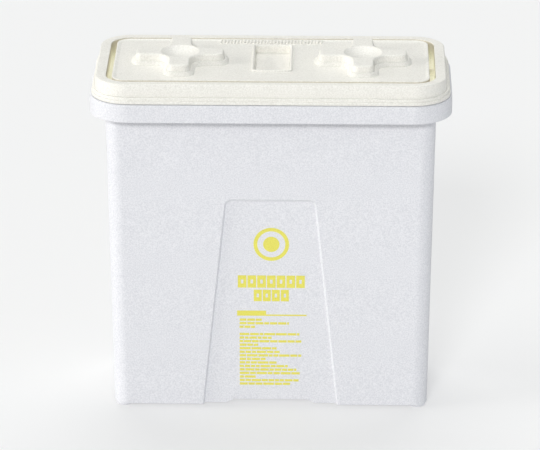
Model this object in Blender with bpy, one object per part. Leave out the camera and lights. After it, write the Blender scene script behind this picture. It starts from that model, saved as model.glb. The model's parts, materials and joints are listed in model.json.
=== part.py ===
"""A narrow medical waste pail of about 20 litres with a press-fit lid.

The pail is one moulded shell with a hanging rim skirt, a label panel, a tilting notch and four feet.
The lid is a second shell that caps the pail's upright lip, with a soft sealing ring in its groove.
The frame is +Z up, +X to the right and -Y to the front, with the origin under the middle of the feet.
"""

import math

import bmesh
import bpy

MM = 0.001

# Pail walls: half sizes of the outside at the bottom edge and under the skirt.
BODY_FOOT_X = 183.5 * MM
BODY_FOOT_Y = 72.7 * MM
BODY_TOP_X = 189.1 * MM
BODY_TOP_Y = 78.2 * MM
BODY_CORNER = 17 * MM
BODY_EDGE_Z = 3.8 * MM
WALL = 2.5 * MM
BASE_UNDERSIDE_Z = 9 * MM
BASE_TOP_Z = 11.5 * MM
BASE_CHAMFER = 5 * MM

# Rim skirt and the flat ledge that it hangs from.
SKIRT_X = 207.5 * MM
SKIRT_Y = 96.5 * MM
SKIRT_CORNER = 46 * MM
SKIRT_BOTTOM_Z = 362 * MM
LEDGE_Z = 381.5 * MM
SKIRT_ROUND = 1.5 * MM

# Upright lip that the lid's groove closes over.
LIP_X = 195.6 * MM
LIP_Y = 85.65 * MM
LIP_CORNER = 31 * MM
LIP_WALL = 3 * MM
LIP_TOP_Z = 400.4 * MM
LIP_BEAD = 0.8 * MM
LIP_BEAD_Z = 395 * MM

# Label panel, sunk into the front and the back wall.
PANEL_DEPTH = 1.5 * MM
PANEL_TOP_Z = 262 * MM
PANEL_TOP_HALF = 52.6 * MM
PANEL_SLOPE = 0.1035
PANEL_CORNER = 7 * MM

# Notch and finger scoop in the middle of the bottom edge.
NOTCH_HALF = 49 * MM
NOTCH_TOP_Z = 8.4 * MM
SCOOP_TOP_HALF = 38 * MM
SCOOP_TOP_Z = 20 * MM
SCOOP_DEPTH = 3 * MM

# Feet.
FOOT_RADIUS = 10.2 * MM
FOOT_X = 171.3 * MM
FOOT_Y = 60.5 * MM
FOOT_ROUND = 3 * MM

# Lid: heights are above the flange's lower edge, which is at LID_Z.
LID_Z = 384.2 * MM
LID_WALL = 2.2 * MM
FLANGE_STEP_INSET = 2 * MM
FLANGE_X = 206 * MM
FLANGE_Y = 95 * MM
FLANGE_CORNER = 44.5 * MM
FLANGE_STEP_Z = 5.1 * MM
FLANGE_TOP_Z = 7.2 * MM
BORDER_X = 200.1 * MM
BORDER_Y = 89.3 * MM
BORDER_CORNER = 36 * MM
BORDER_TOP_Z = 21.8 * MM
BORDER_WIDTH_X = 12 * MM
BORDER_WIDTH_Y = 10.3 * MM
CHANNEL_FLOOR_Z = 1.8 * MM
ISLAND_X = 181.3 * MM
ISLAND_Y = 74.3 * MM
ISLAND_CORNER = 15.5 * MM
ISLAND_LIP_Z = 22.8 * MM
ISLAND_LIP_WIDTH = 3 * MM
ISLAND_FLOOR_Z = 21.2 * MM
EDGE_ROUND = 1.2 * MM

# Clover-shaped raised bosses with a round dish.
BOSS_X = 105.3 * MM
BOSS_Y = -3 * MM
BOSS_REACH_X = 52.5 * MM
BOSS_REACH_Y = 50 * MM
BOSS_LOBE_HALF = 13.5 * MM
BOSS_LOBE_ROUND = 7 * MM
BOSS_HOLLOW_ROUND = 13 * MM
BOSS_STEP = 2 * MM
BOSS_STEP_Z = 25.4 * MM
BOSS_TOP_Z = 33.3 * MM
BOSS_HOLLOW_TOP_Z = 24.6 * MM
DISH_RADIUS = 22.5 * MM
DISH_DEPTH = 6 * MM

# Rectangular pocket in the middle of the lid.
POCKET_X = 21 * MM
POCKET_Y = 46.3 * MM
POCKET_MIDDLE_Y = 11.5 * MM
POCKET_FLOOR_Z = 11.3 * MM
POCKET_CORNER = 2.5 * MM
POCKET_LIP_Z = 22.2 * MM

# Sealing ring.
SEAL_GAP = 0.3 * MM

CORNER_STEPS = 8
OUTSIDE = 4 * MM


def clear_scene():
    for obj in list(bpy.data.objects):
        bpy.data.objects.remove(obj)


def arc(centre_x, centre_y, radius, start, end, steps):
    """Points on a circle from the start angle to the end angle, in degrees, both ends included."""
    points = []
    for step in range(steps + 1):
        angle = math.radians(start + (end - start) * step / steps)
        points.append((centre_x + radius * math.cos(angle), centre_y + radius * math.sin(angle)))
    return points


def rounded_rectangle(half_x, half_y, corner):
    points = []
    for turn, (side_x, side_y) in enumerate(((1, 1), (-1, 1), (-1, -1), (1, -1))):
        centre_x = side_x * (half_x - corner)
        centre_y = side_y * (half_y - corner)
        points += arc(centre_x, centre_y, corner, 90 * turn, 90 * turn + 90, CORNER_STEPS)
    return points


def circle(radius, steps=32):
    return arc(0, 0, radius, 0, 360 - 360 / steps, steps - 1)


def clover(grow):
    """Outline of a cross with rounded lobes and hollow corners, offset outwards by grow."""
    half = BOSS_LOBE_HALF + grow
    tip = BOSS_LOBE_ROUND + grow
    hollow = BOSS_HOLLOW_ROUND - grow
    reach_x = BOSS_REACH_X + grow
    reach_y = BOSS_REACH_Y + grow
    quarter = arc(reach_x - tip, half - tip, tip, 0, 90, 4)
    quarter += arc(half + hollow, half + hollow, hollow, 270, 180, 5)
    quarter += arc(half - tip, reach_y - tip, tip, 0, 90, 4)
    left = [(-x, y) for x, y in reversed(quarter)]
    upper = quarter + left
    return upper + [(-x, -y) for x, y in upper]


def loft(name, sections, ring=False):
    """A closed solid through level sections, each an outline with its height, in order along the skin.

    The first and last sections are capped, or joined to each other if the solid is a ring.
    """
    bm = bmesh.new()
    loops = []
    for outline, height in sections:
        loops.append([bm.verts.new((x, y, height)) for x, y in outline])
    pairs = list(zip(loops, loops[1:]))
    if ring:
        pairs.append((loops[-1], loops[0]))
    for lower, upper in pairs:
        count = len(lower)
        for index in range(count):
            after = (index + 1) % count
            bm.faces.new((lower[index], lower[after], upper[after], upper[index]))
    if not ring:
        bm.faces.new(loops[0])
        bm.faces.new(loops[-1])
    bmesh.ops.recalc_face_normals(bm, faces=bm.faces)
    return object_from(name, bm)


def object_from(name, bm):
    mesh = bpy.data.meshes.new(name)
    bm.to_mesh(mesh)
    bm.free()
    obj = bpy.data.objects.new(name, mesh)
    bpy.context.scene.collection.objects.link(obj)
    return obj


def hull_of(name, points):
    bm = bmesh.new()
    for point in points:
        bm.verts.new(point)
    bmesh.ops.convex_hull(bm, input=bm.verts)
    bmesh.ops.recalc_face_normals(bm, faces=bm.faces)
    return object_from(name, bm)


def combine(target, tool, operation):
    """Adds a live Boolean of the tool to the target and hides the tool from the render."""
    modifier = target.modifiers.new(tool.name, "BOOLEAN")
    modifier.operation = operation
    modifier.object = tool
    modifier.solver = "EXACT"
    tool.hide_render = True
    tool.display_type = "WIRE"


def turned_copy(obj, name):
    """The same shape on the opposite side, turned half round the vertical axis."""
    copy = bpy.data.objects.new(name, obj.data)
    copy.rotation_euler = (0, 0, math.pi)
    bpy.context.scene.collection.objects.link(copy)
    return copy


def finish(obj, colour, roughness):
    material = bpy.data.materials.new(obj.name)
    material.use_nodes = True
    shader = material.node_tree.nodes["Principled BSDF"]
    shader.inputs["Base Color"].default_value = (*colour, 1)
    shader.inputs["Roughness"].default_value = roughness
    shader.inputs["Metallic"].default_value = 0
    obj.data.materials.append(material)
    obj.data.shade_smooth()
    obj.data.set_sharp_from_angle(angle=math.radians(30))


def body_half(height):
    """Half sizes of the tapered pail's outside at a height."""
    share = (height - BODY_EDGE_Z) / (SKIRT_BOTTOM_Z - BODY_EDGE_Z)
    half_x = BODY_FOOT_X + (BODY_TOP_X - BODY_FOOT_X) * share
    half_y = BODY_FOOT_Y + (BODY_TOP_Y - BODY_FOOT_Y) * share
    return half_x, half_y


def body_section(height, inset):
    half_x, half_y = body_half(height)
    corner = max(BODY_CORNER - inset, 6 * MM)
    return rounded_rectangle(half_x - inset, half_y - inset, corner), height


def skirt_section(height, inset):
    return rounded_rectangle(SKIRT_X - inset, SKIRT_Y - inset, SKIRT_CORNER - inset), height


def lip_section(height, inset):
    return rounded_rectangle(LIP_X - inset, LIP_Y - inset, LIP_CORNER - inset), height


def make_pail_shell():
    """The skin runs from the underside's middle, up the outside, over the rim and down the inside."""
    under_ledge = LEDGE_Z - WALL
    sections = [
        body_section(BASE_UNDERSIDE_Z, 3 * MM),
        body_section(BODY_EDGE_Z, 2.6 * MM),
        body_section(BODY_EDGE_Z, 1 * MM),
        body_section(BODY_EDGE_Z + 1 * MM, 0),
        body_section(under_ledge, 0),
        skirt_section(under_ledge, WALL),
        skirt_section(SKIRT_BOTTOM_Z, WALL),
        skirt_section(SKIRT_BOTTOM_Z, SKIRT_ROUND / 2),
        skirt_section(SKIRT_BOTTOM_Z + SKIRT_ROUND / 2, 0),
        skirt_section(LEDGE_Z - SKIRT_ROUND, 0),
        skirt_section(LEDGE_Z - SKIRT_ROUND / 3, SKIRT_ROUND / 3),
        skirt_section(LEDGE_Z, SKIRT_ROUND),
        lip_section(LEDGE_Z, 0),
        lip_section(LIP_BEAD_Z - 2 * MM, 0),
        lip_section(LIP_BEAD_Z, -LIP_BEAD),
        lip_section(LIP_BEAD_Z + 2 * MM, 0),
        lip_section(LIP_TOP_Z - 0.8 * MM, 0),
        lip_section(LIP_TOP_Z, 0.8 * MM),
        lip_section(LIP_TOP_Z, LIP_WALL - 0.8 * MM),
        lip_section(LIP_TOP_Z - 0.8 * MM, LIP_WALL),
        lip_section(LEDGE_Z, LIP_WALL),
        body_section(LEDGE_Z, WALL),
        body_section(BASE_TOP_Z + BASE_CHAMFER, WALL),
        body_section(BASE_TOP_Z, WALL + BASE_CHAMFER),
    ]
    return loft("pail_body", sections)


def panel_outline(grow):
    """Outline of the label panel in x and z: a tall trapezium, open at the bottom edge."""
    tilt = math.sqrt(1 + PANEL_SLOPE**2)
    corner = PANEL_CORNER + grow
    top = PANEL_TOP_Z + grow
    centre_z = top - corner
    bottom = -OUTSIDE

    def side(height):
        return PANEL_TOP_HALF + PANEL_SLOPE * (PANEL_TOP_Z - height) + grow * tilt

    centre_x = side(centre_z) - corner * tilt
    lean = math.degrees(math.atan(PANEL_SLOPE))
    right = [(side(bottom), bottom)] + arc(centre_x, centre_z, corner, lean, 90, 5)
    return right + [(-x, z) for x, z in reversed(right)]


def on_front(x, z, depth):
    """The point that lies depth inside the sloping front wall."""
    return x, -body_half(z)[1] + depth, z


def sloping_block(name, outer, outer_depth, inner, inner_depth):
    """A solid between two outlines that lie parallel to the front wall, with slanting sides."""
    bm = bmesh.new()
    front = [bm.verts.new(on_front(x, z, outer_depth)) for x, z in outer]
    back = [bm.verts.new(on_front(x, z, inner_depth)) for x, z in inner]
    count = len(front)
    for index in range(count):
        after = (index + 1) % count
        bm.faces.new((front[index], front[after], back[after], back[index]))
    bm.faces.new(front)
    bm.faces.new(back)
    bmesh.ops.recalc_face_normals(bm, faces=bm.faces)
    return object_from(name, bm)


def make_panel_cutter():
    outer = panel_outline(OUTSIDE)
    inner = panel_outline(-PANEL_DEPTH)
    return sloping_block("panel_cutter", outer, -OUTSIDE, inner, PANEL_DEPTH)


def make_panel_backing():
    """The wall behind the panel, which keeps its thickness where the panel is sunk."""
    outline = panel_outline(WALL - PANEL_DEPTH)
    low = BASE_TOP_Z - 1.5 * MM
    outline = [(x, max(z, low)) for x, z in outline]
    return sloping_block("panel_backing", outline, WALL / 2 + PANEL_DEPTH, outline, WALL + PANEL_DEPTH)


def make_notch_cutter():
    low_half = NOTCH_HALF + NOTCH_TOP_Z + OUTSIDE
    points = []
    for y in (-BODY_FOOT_Y - OUTSIDE, -BODY_FOOT_Y + 12 * MM):
        for side in (-1, 1):
            points.append((side * NOTCH_HALF, y, NOTCH_TOP_Z))
            points.append((side * low_half, y, -OUTSIDE))
    return hull_of("notch_cutter", points)


def make_scoop_cutter():
    """A shallow slanting cut above the notch, deepest at the notch's top."""
    rise = SCOOP_TOP_Z - NOTCH_TOP_Z
    points = []
    for side in (-1, 1):
        for share, reach in ((-0.05, SCOOP_TOP_HALF), (1.3, NOTCH_HALF)):
            height = SCOOP_TOP_Z - rise * share
            depth = PANEL_DEPTH + SCOOP_DEPTH * share
            points.append(on_front(side * (reach - SCOOP_DEPTH * max(share, 0)), height, depth))
            points.append(on_front(side * reach, height, -OUTSIDE))
    return hull_of("scoop_cutter", points)


def make_foot(name, side_x, side_y):
    bm = bmesh.new()
    height = BASE_UNDERSIDE_Z + 1 * MM
    bmesh.ops.create_cone(
        bm, cap_ends=True, segments=28, radius1=FOOT_RADIUS, radius2=FOOT_RADIUS, depth=height
    )
    rim = [edge for edge in bm.edges if all(vert.co.z < 0 for vert in edge.verts)]
    bmesh.ops.bevel(
        bm, geom=rim, offset=FOOT_ROUND, segments=3, profile=0.5, affect="EDGES", material=-1
    )
    bmesh.ops.translate(bm, verts=bm.verts, vec=(side_x * FOOT_X, side_y * FOOT_Y, height / 2))
    return object_from(name, bm)


def make_pail():
    pail = make_pail_shell()
    backing = make_panel_backing()
    panel = make_panel_cutter()
    notch = make_notch_cutter()
    scoop = make_scoop_cutter()
    for tool in (backing, turned_copy(backing, "panel_backing_rear")):
        combine(pail, tool, "UNION")
    for side_x in (-1, 1):
        for side_y in (-1, 1):
            foot = make_foot(f"foot_{'left' if side_x < 0 else 'right'}_{side_y}", side_x, side_y)
            combine(pail, foot, "UNION")
    for tool in (panel, notch, scoop):
        combine(pail, tool, "DIFFERENCE")
        combine(pail, turned_copy(tool, tool.name + "_rear"), "DIFFERENCE")
    finish(pail, (0.80, 0.81, 0.84), 0.5)


def flange_section(height, inset):
    return rounded_rectangle(FLANGE_X - inset, FLANGE_Y - inset, FLANGE_CORNER - inset), height


def border_section(height, inset):
    return rounded_rectangle(BORDER_X - inset, BORDER_Y - inset, BORDER_CORNER - inset), height


def border_inner_section(height, grow):
    """Inner side of the raised border, grown outwards by grow."""
    half_x = BORDER_X - BORDER_WIDTH_X + grow
    half_y = BORDER_Y - BORDER_WIDTH_Y + grow
    return rounded_rectangle(half_x, half_y, BORDER_CORNER - BORDER_WIDTH_X + grow), height


def island_section(height, inset):
    return rounded_rectangle(ISLAND_X - inset, ISLAND_Y - inset, ISLAND_CORNER - inset), height


def make_lid_shell():
    """The skin runs from the underside's middle, through the groove, round the flange and over the top."""
    groove_top = BORDER_TOP_Z - LID_WALL
    flange_under = FLANGE_TOP_Z - LID_WALL
    plug_bottom = CHANNEL_FLOOR_Z - LID_WALL
    island_under = ISLAND_FLOOR_Z - LID_WALL
    sections = [
        island_section(island_under, LID_WALL),
        island_section(plug_bottom, LID_WALL),
        border_inner_section(plug_bottom, LID_WALL),
        border_inner_section(groove_top, LID_WALL),
        border_section(groove_top, LID_WALL),
        border_section(flange_under, LID_WALL),
        flange_section(flange_under, LID_WALL),
        flange_section(0, LID_WALL),
        flange_section(0, EDGE_ROUND / 2),
        flange_section(EDGE_ROUND / 2, 0),
        flange_section(FLANGE_STEP_Z - EDGE_ROUND / 2, 0),
        flange_section(FLANGE_STEP_Z, EDGE_ROUND / 2),
        flange_section(FLANGE_STEP_Z, FLANGE_STEP_INSET),
        flange_section(FLANGE_TOP_Z - EDGE_ROUND / 2, FLANGE_STEP_INSET),
        flange_section(FLANGE_TOP_Z, FLANGE_STEP_INSET + EDGE_ROUND / 2),
        border_section(FLANGE_TOP_Z, -0.7 * MM),
        border_section(BORDER_TOP_Z - EDGE_ROUND, 0),
        border_section(BORDER_TOP_Z - EDGE_ROUND / 3, EDGE_ROUND / 3),
        border_section(BORDER_TOP_Z, EDGE_ROUND),
        border_inner_section(BORDER_TOP_Z, EDGE_ROUND / 2),
        border_inner_section(BORDER_TOP_Z - EDGE_ROUND / 2, 0),
        border_inner_section(CHANNEL_FLOOR_Z, 0),
        island_section(CHANNEL_FLOOR_Z, 0),
        island_section(ISLAND_LIP_Z - EDGE_ROUND / 2, 0),
        island_section(ISLAND_LIP_Z, EDGE_ROUND / 2),
        island_section(ISLAND_LIP_Z, ISLAND_LIP_WIDTH),
        island_section(ISLAND_FLOOR_Z, ISLAND_LIP_WIDTH + EDGE_ROUND / 2),
    ]
    return loft("lid_cover", sections)


def make_boss():
    sections = [
        (clover(BOSS_STEP), ISLAND_FLOOR_Z - 1 * MM),
        (clover(BOSS_STEP), BOSS_STEP_Z - EDGE_ROUND / 2),
        (clover(BOSS_STEP - EDGE_ROUND / 2), BOSS_STEP_Z),
        (clover(EDGE_ROUND / 2), BOSS_STEP_Z),
        (clover(0), BOSS_TOP_Z - EDGE_ROUND),
        (clover(-EDGE_ROUND / 3), BOSS_TOP_Z - EDGE_ROUND / 3),
        (clover(-EDGE_ROUND), BOSS_TOP_Z),
    ]
    return loft("boss_left", sections)


def make_boss_hollow():
    sections = [
        (clover(-LID_WALL), ISLAND_FLOOR_Z - LID_WALL - OUTSIDE),
        (clover(-LID_WALL), BOSS_HOLLOW_TOP_Z),
    ]
    return loft("boss_hollow_left", sections)


def make_dish():
    """A shallow part of a sphere whose rim lies in the boss's flat top."""
    sphere = (DISH_RADIUS**2 + DISH_DEPTH**2) / (2 * DISH_DEPTH)
    centre_z = BOSS_TOP_Z - DISH_DEPTH + sphere
    sections = []
    for share in (0.2, 0.4, 0.6, 0.8, 1.0):
        radius = DISH_RADIUS * share
        sections.append((circle(radius), centre_z - math.sqrt(sphere**2 - radius**2)))
    sections.append((circle(DISH_RADIUS), BOSS_TOP_Z + OUTSIDE))
    return loft("dish_left", sections)


def make_pocket(name, grow, low, high):
    outline = rounded_rectangle(POCKET_X + grow, POCKET_Y + grow, POCKET_CORNER + grow)
    pocket = loft(name, [(outline, low), (outline, high)])
    pocket.location = (0, POCKET_MIDDLE_Y, 0)
    return pocket


def copy_at(obj, name, location):
    copy = bpy.data.objects.new(name, obj.data)
    copy.location = location
    bpy.context.scene.collection.objects.link(copy)
    return copy


def make_lid(axis):
    lid = make_lid_shell()
    tub = make_pocket("pocket_tub", LID_WALL, POCKET_FLOOR_Z - LID_WALL, POCKET_LIP_Z)
    pocket = make_pocket("pocket", 0, POCKET_FLOOR_Z, POCKET_LIP_Z + OUTSIDE)
    boss = make_boss()
    hollow = make_boss_hollow()
    dish = make_dish()
    steps = [(tub, "UNION")]
    for tool, operation in ((boss, "UNION"), (hollow, "DIFFERENCE"), (dish, "DIFFERENCE")):
        tool.location = (-BOSS_X, BOSS_Y, 0)
        right = copy_at(tool, tool.name.replace("left", "right"), (BOSS_X, BOSS_Y, 0))
        steps += [(tool, operation), (right, operation)]
    steps.append((pocket, "DIFFERENCE"))
    for tool, operation in steps:
        tool.parent = axis
        combine(lid, tool, operation)
    lid.parent = axis
    finish(lid, (0.84, 0.82, 0.75), 0.45)


def make_seal(axis):
    """A soft ring of square section, held in the top of the lid's groove."""
    top = BORDER_TOP_Z - LID_WALL - SEAL_GAP
    bottom = LIP_TOP_Z - LID_Z + SEAL_GAP
    seal = loft(
        "lid_seal",
        [
            border_inner_section(bottom, LID_WALL + SEAL_GAP),
            border_section(bottom, LID_WALL + SEAL_GAP),
            border_section(top, LID_WALL + SEAL_GAP),
            border_inner_section(top, LID_WALL + SEAL_GAP),
        ],
        ring=True,
    )
    seal.parent = axis
    finish(seal, (0.30, 0.30, 0.30), 0.8)


def main():
    clear_scene()
    lift_axis = bpy.data.objects.new("lid_lift_axis", None)
    lift_axis.location = (0, 0, LID_Z)
    bpy.context.scene.collection.objects.link(lift_axis)
    make_pail()
    make_lid(lift_axis)
    make_seal(lift_axis)


main()
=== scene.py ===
# %% [markdown]
# # A medical waste pail
# The object is a narrow plastic pail with a press-fit lid, both injection moulded from polypropylene.
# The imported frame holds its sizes, its bodies and the slide on which the lid comes off. This script adds
# the looks: fine moulded shells, their grain, the yellow print, the light and the camera.

# %% Open the frame
import json
import math
import random

import bmesh
import bpy
from mathutils import Matrix, Vector

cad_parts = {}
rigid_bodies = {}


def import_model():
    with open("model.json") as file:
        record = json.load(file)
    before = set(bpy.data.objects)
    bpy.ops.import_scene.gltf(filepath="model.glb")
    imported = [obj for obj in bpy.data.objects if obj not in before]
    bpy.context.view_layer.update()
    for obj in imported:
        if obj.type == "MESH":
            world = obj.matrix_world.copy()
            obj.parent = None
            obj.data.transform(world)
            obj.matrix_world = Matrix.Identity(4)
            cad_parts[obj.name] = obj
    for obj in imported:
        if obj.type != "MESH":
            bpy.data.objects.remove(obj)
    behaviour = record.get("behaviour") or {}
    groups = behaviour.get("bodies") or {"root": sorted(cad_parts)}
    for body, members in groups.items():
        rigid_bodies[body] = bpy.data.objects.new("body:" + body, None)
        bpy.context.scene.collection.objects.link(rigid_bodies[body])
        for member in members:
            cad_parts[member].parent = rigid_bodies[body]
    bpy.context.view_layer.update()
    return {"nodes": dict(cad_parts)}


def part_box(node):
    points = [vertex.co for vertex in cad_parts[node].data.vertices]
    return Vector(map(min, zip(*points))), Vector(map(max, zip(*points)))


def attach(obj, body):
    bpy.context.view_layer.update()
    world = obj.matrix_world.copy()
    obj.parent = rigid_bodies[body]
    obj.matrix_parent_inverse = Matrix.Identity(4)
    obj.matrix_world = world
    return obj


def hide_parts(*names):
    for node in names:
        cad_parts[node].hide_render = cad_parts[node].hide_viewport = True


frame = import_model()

MM = 0.001

# %% [markdown]
# ## Sizes
# Everything is placed from the frame. The pail's box gives the rim skirt and the top of the upright lip, and
# the lid's box gives the flange and the bosses. The seal's box is only printed, beside the top of the lip
# that it lies over. The remaining sizes are those of a moulding: wall thicknesses, steps and corner radii.

# %% Read the frame's boxes
_, pail_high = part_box("pail_body")
lid_low, lid_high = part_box("lid_cover")
seal_low, seal_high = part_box("lid_seal")

skirt_x, skirt_y, lip_top = pail_high
flange_x, flange_y, boss_top = lid_high
lid_bottom = lid_low.z
flange_low = lid_bottom + 0.4 * MM

skirt_corner = 46 * MM
ledge_z = lip_top - 17.2 * MM
skirt_bottom = lip_top - 38.4 * MM
pail_wall = 2.5 * MM
lip_wall = 3 * MM
lip_x = skirt_x - 11.9 * MM
lip_y = skirt_y - 10.85 * MM
lip_corner = 31 * MM

body_corner = 17 * MM
body_edge_z = 3.8 * MM
body_foot_x = skirt_x - 24 * MM
body_foot_y = skirt_y - 23.8 * MM
body_top_x = skirt_x - 18.4 * MM
body_top_y = skirt_y - 18.3 * MM
print(f"skirt {2 * skirt_x / MM:.0f} x {2 * skirt_y / MM:.0f} mm, overall height {boss_top / MM:.1f} mm")
print(f"seal from {seal_low.z / MM:.1f} to {seal_high.z / MM:.1f} mm, top of the lip {lip_top / MM:.1f} mm")

# %% [markdown]
# ## A loft through rounded rectangles
# Every level of a moulded tub is a rectangle with round corners, so both shells are lofts. One loop starts as
# a single quad, whose four corner points are bevelled round, and its face is then dropped to leave the edges.
# `bridge_loops` skins each pair of neighbours. The list of levels is the wall's cross-section, walked once
# round from the inside to the outside, so the shell is closed and has its real thickness. A cross-section row
# may ask for a round: it is replaced by points on a small curve, which gives the fillets that moulds have.

# %% Loft helpers
CORNER_STEPS = 12
ROUND_STEPS = 3
STACK_GAP = 10 * MM


def level(half_x, half_y, corner, height, rounding=0.0):
    """One row of a cross-section: half sizes, corner radius, height and the fillet wanted there."""
    return half_x, half_y, corner, height, rounding


def soften(rows, closed=False):
    """Replaces each row that asks for a fillet by points on a curve between its neighbours."""
    softened = []
    last = len(rows) - 1
    for index, row in enumerate(rows):
        corner = Vector(row[:4])
        rounding = row[4]
        if rounding == 0 or (not closed and index in (0, last)):
            softened.append(corner)
            continue
        ends = []
        for other in (rows[index - 1], rows[(index + 1) % len(rows)]):
            away = Vector(other[:4]) - corner
            span = math.hypot(away[0], away[3])
            ends.append(corner + away * (rounding / span))
        for step in range(ROUND_STEPS + 1):
            share = step / ROUND_STEPS
            softened.append(ends[0].lerp(corner, share).lerp(corner.lerp(ends[1], share), share))
    return softened


def flat_quad(bm, half=1):
    """The four points of a new flat square face round the origin."""
    return bmesh.ops.create_grid(bm, x_segments=1, y_segments=1, size=half)["verts"]


def round_points(bm, verts, offset, segments):
    """Rounds the corner points of a flat face."""
    return bmesh.ops.bevel(
        bm, geom=verts, offset=offset, segments=segments, profile=0.5, affect="VERTICES", material=-1
    )


def round_edges(bm, edges, offset, segments):
    """Rounds the edges of a solid."""
    bmesh.ops.bevel(
        bm, geom=edges, offset=offset, segments=segments, profile=0.5, affect="EDGES", material=-1
    )


def outline(bm, half_x, half_y, corner, height):
    """The edges of one level loop, made from a quad with bevelled corner points."""
    quad = flat_quad(bm)
    bmesh.ops.scale(bm, verts=quad, vec=(half_x, half_y, 1))
    bmesh.ops.translate(bm, verts=quad, vec=(0, 0, height))
    rounded = round_points(bm, quad, corner, CORNER_STEPS)
    face = rounded["verts"][0].link_faces[0]
    edges = list(face.edges)
    bmesh.ops.delete(bm, geom=[face], context="FACES_ONLY")
    return edges


def loft(rows):
    """A closed shell through the rows, capped at both ends, with its faces outwards.

    The loops are stacked apart while they are bridged, because two loops at one height have no
    direction between them. Each then goes to its own height."""
    bm = bmesh.new()
    rows = soften(rows)
    loops = [outline(bm, *row[:3], index * STACK_GAP) for index, row in enumerate(rows)]
    for lower, upper in zip(loops, loops[1:]):
        bmesh.ops.bridge_loops(bm, edges=lower + upper)
    for loop in (loops[0], loops[-1]):
        bmesh.ops.edgeloop_fill(bm, edges=loop)
    for vert in bm.verts:
        vert.co.z = rows[round(vert.co.z / STACK_GAP)][3]
    bmesh.ops.recalc_face_normals(bm, faces=bm.faces)
    return bm


def piece_from(bm, name):
    mesh = bpy.data.meshes.new(name)
    bm.to_mesh(mesh)
    bm.free()
    piece = bpy.data.objects.new(name, mesh)
    bpy.context.scene.collection.objects.link(piece)
    return piece


print("a corner has", CORNER_STEPS, "steps, a fillet", ROUND_STEPS)

# %% [markdown]
# ## The pail's shell
# The cross-section starts under the middle of the base and goes out to the bottom edge, up the outside, out
# under the ledge and down behind the hanging skirt. Then it turns up the skirt's outer face and over the
# ledge, climbs the upright lip with its small bead, and goes down the inside to the floor of the pail.
# The walls lean out by about one degree, because the moulding has to slide off its core.

# %% Pail cross-section
LEAST_CORNER = 6 * MM


def body_level(height, inset, rounding=0.0):
    share = (height - body_edge_z) / (skirt_bottom - body_edge_z)
    half_x = body_foot_x + (body_top_x - body_foot_x) * share - inset
    half_y = body_foot_y + (body_top_y - body_foot_y) * share - inset
    return level(half_x, half_y, max(body_corner - inset, LEAST_CORNER), height, rounding)


def skirt_level(height, inset, rounding=0.0):
    return level(skirt_x - inset, skirt_y - inset, skirt_corner - inset, height, rounding)


def lip_level(height, inset, rounding=0.0):
    return level(lip_x - inset, lip_y - inset, lip_corner - inset, height, rounding)


under_ledge = ledge_z - pail_wall
base_underside = 9 * MM
base_top = 11.5 * MM
bead_z = lip_top - 5.4 * MM
bead_half = 2 * MM
bead_reach = 0.8 * MM

pail_rows = [
    body_level(base_underside, 4 * MM),
    body_level(body_edge_z, 3.2 * MM, 0.6 * MM),
    body_level(body_edge_z, 0, 1.3 * MM),
    body_level(under_ledge, 0, 1 * MM),
    skirt_level(under_ledge, pail_wall, 1 * MM),
    skirt_level(skirt_bottom, pail_wall, 0.7 * MM),
    skirt_level(skirt_bottom, 0, 1.1 * MM),
    skirt_level(ledge_z, 0, 2.6 * MM),
    lip_level(ledge_z, 0, 0.8 * MM),
    lip_level(bead_z - bead_half, 0),
    lip_level(bead_z, -bead_reach, 0.6 * MM),
    lip_level(bead_z + bead_half, 0),
    lip_level(lip_top, 0, 1.2 * MM),
    lip_level(lip_top, lip_wall, 1.2 * MM),
    lip_level(ledge_z, lip_wall, 0.8 * MM),
    body_level(ledge_z, pail_wall, 1 * MM),
    body_level(base_top + 5 * MM, pail_wall, 2 * MM),
    body_level(base_top, pail_wall + 5 * MM, 2 * MM),
    body_level(base_top, pail_wall + 12 * MM),
]
pail = piece_from(loft(pail_rows), "pail")
print("pail shell:", len(pail.data.polygons), "faces")

# %% [markdown]
# ## Cutting and joining
# Feet, bosses, pockets and notches are shapes of their own that meet the shell at odd places. A Boolean does
# that cleanly, so each is modelled as a small solid, joined to the shell or cut from it, and thrown away.
# The result is stored as a plain mesh, so no helper is left in the scene.

# %% Boolean helper
def combine(piece, tool_bm, operation, turns=(0.0,)):
    """Adds or cuts a tool, once for each turn in degrees about the vertical axis."""
    for turn in turns:
        copy = tool_bm.copy()
        bmesh.ops.rotate(
            copy, verts=copy.verts, cent=(0, 0, 0), matrix=Matrix.Rotation(math.radians(turn), 3, "Z")
        )
        tool = piece_from(copy, "tool")
        modifier = piece.modifiers.new("combine", "BOOLEAN")
        modifier.operation = operation
        modifier.solver = "EXACT"
        modifier.object = tool
        graph = bpy.context.evaluated_depsgraph_get()
        result = bpy.data.meshes.new_from_object(piece.evaluated_get(graph))
        piece.modifiers.clear()
        old = piece.data
        piece.data = result
        bpy.data.meshes.remove(old)
        bpy.data.meshes.remove(tool.data)
    tool_bm.free()
    piece.data.name = piece.name


def open_edges(piece):
    """The number of edges that don't have exactly two faces: a closed shell has none."""
    bm = bmesh.new()
    bm.from_mesh(piece.data)
    count = sum(len(edge.link_faces) != 2 for edge in bm.edges)
    bm.free()
    return count


print("pail open edges:", open_edges(pail))

# %% [markdown]
# ## Feet, label panel, notch and scoop
# Each foot is a short cylinder with a round lower edge, tucked into a corner. The label panel is sunk into
# the wall with steep sides, so its cutter is a trapezium that is inset once with more depth than width, and
# its top side is then slanted a little more. It stands in the plane of the wall, which leans, so one matrix
# carries it there. The panel is also on the back. Behind the panel the wall keeps its thickness: a backing
# plate is added on the inside first. The notch opens the pail's bottom edge under the panel, and the scoop is
# a shallow slope above the notch.

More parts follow.
